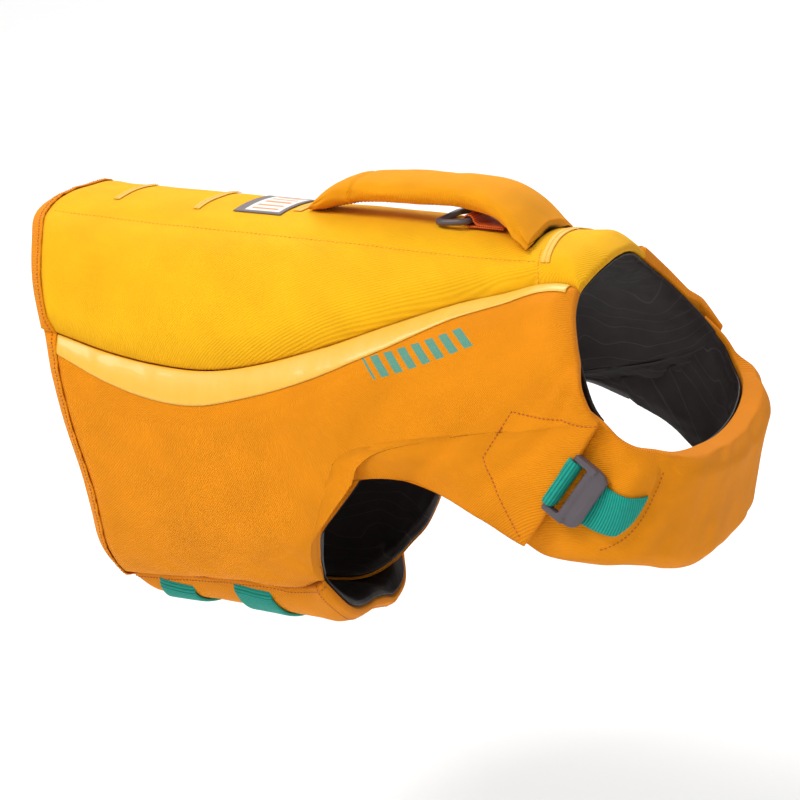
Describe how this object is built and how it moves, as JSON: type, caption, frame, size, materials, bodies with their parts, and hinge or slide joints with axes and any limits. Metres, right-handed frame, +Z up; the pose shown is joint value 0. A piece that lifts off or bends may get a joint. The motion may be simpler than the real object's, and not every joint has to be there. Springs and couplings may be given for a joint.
{
  "type": "dog life jacket",
  "caption": "Padded dog life jacket in its worn shape: foam back and sides, neck collar, belly wrap with buckled straps, grab handle and leash ring.",
  "frame": {"origin": "inner face of the back panel on the spine, at the middle of the wearer's back", "axes": "+X forward to the neck along the spine, +Z up out of the back, the wearer's right side at -Y"},
  "size_m": [0.3658, 0.1867, 0.2369],
  "materials": {
    "yellow_canvas": "woven polyester canvas, matt",
    "orange_canvas": "woven polyester canvas, matt",
    "handle_canvas": "woven polyester canvas, matt",
    "lining": "thin coated nylon lining, satin",
    "reflective_film": "reflective film on cloth, glossy",
    "pale_tape": "narrow woven tape",
    "teal_webbing": "ribbed polyester webbing",
    "orange_webbing": "woven polyester webbing",
    "grey_plastic": "moulded acetal, satin",
    "woven_label": "woven label"
  },
  "bodies": {
    "jacket": {"back_panel": "yellow_canvas", "side_panel_right": "orange_canvas", "side_panel_left": "orange_canvas", "reflective_strip_right": "reflective_film", "reflective_strip_left": "reflective_film", "hem_tape": "orange_canvas", "body_lining": "lining", "collar": "orange_canvas", "collar_lining": "lining", "belly_panel": "orange_canvas", "belly_lining": "lining", "neck_webbing_right": "teal_webbing", "neck_webbing_left": "teal_webbing", "ladder_lock_right": "grey_plastic", "ladder_lock_left": "grey_plastic", "belly_strap_rear": "teal_webbing", "belly_strap_front": "teal_webbing", "buckle_plug_rear": "grey_plastic", "buckle_plug_front": "grey_plastic", "buckle_socket_rear": "grey_plastic", "buckle_socket_front": "grey_plastic", "buckle_anchor_rear": "teal_webbing", "buckle_anchor_front": "teal_webbing", "label": "woven_label", "pale_tape_rear": "pale_tape", "pale_tape_middle": "pale_tape", "handle_tab_rear": "pale_tape", "handle_tab_front": "pale_tape", "handle": "handle_canvas", "ring_webbing": "orange_webbing"},
    "leash_ring": {"leash_ring": "grey_plastic"}
  },
  "joints": [
    {"name": "ring_lift", "type": "hinge", "parent": "jacket", "child": "leash_ring", "pos_m": [0.062, 0, 0.01357], "axis": [0, 1, 0], "range_deg": [0, 12]}
  ]
}
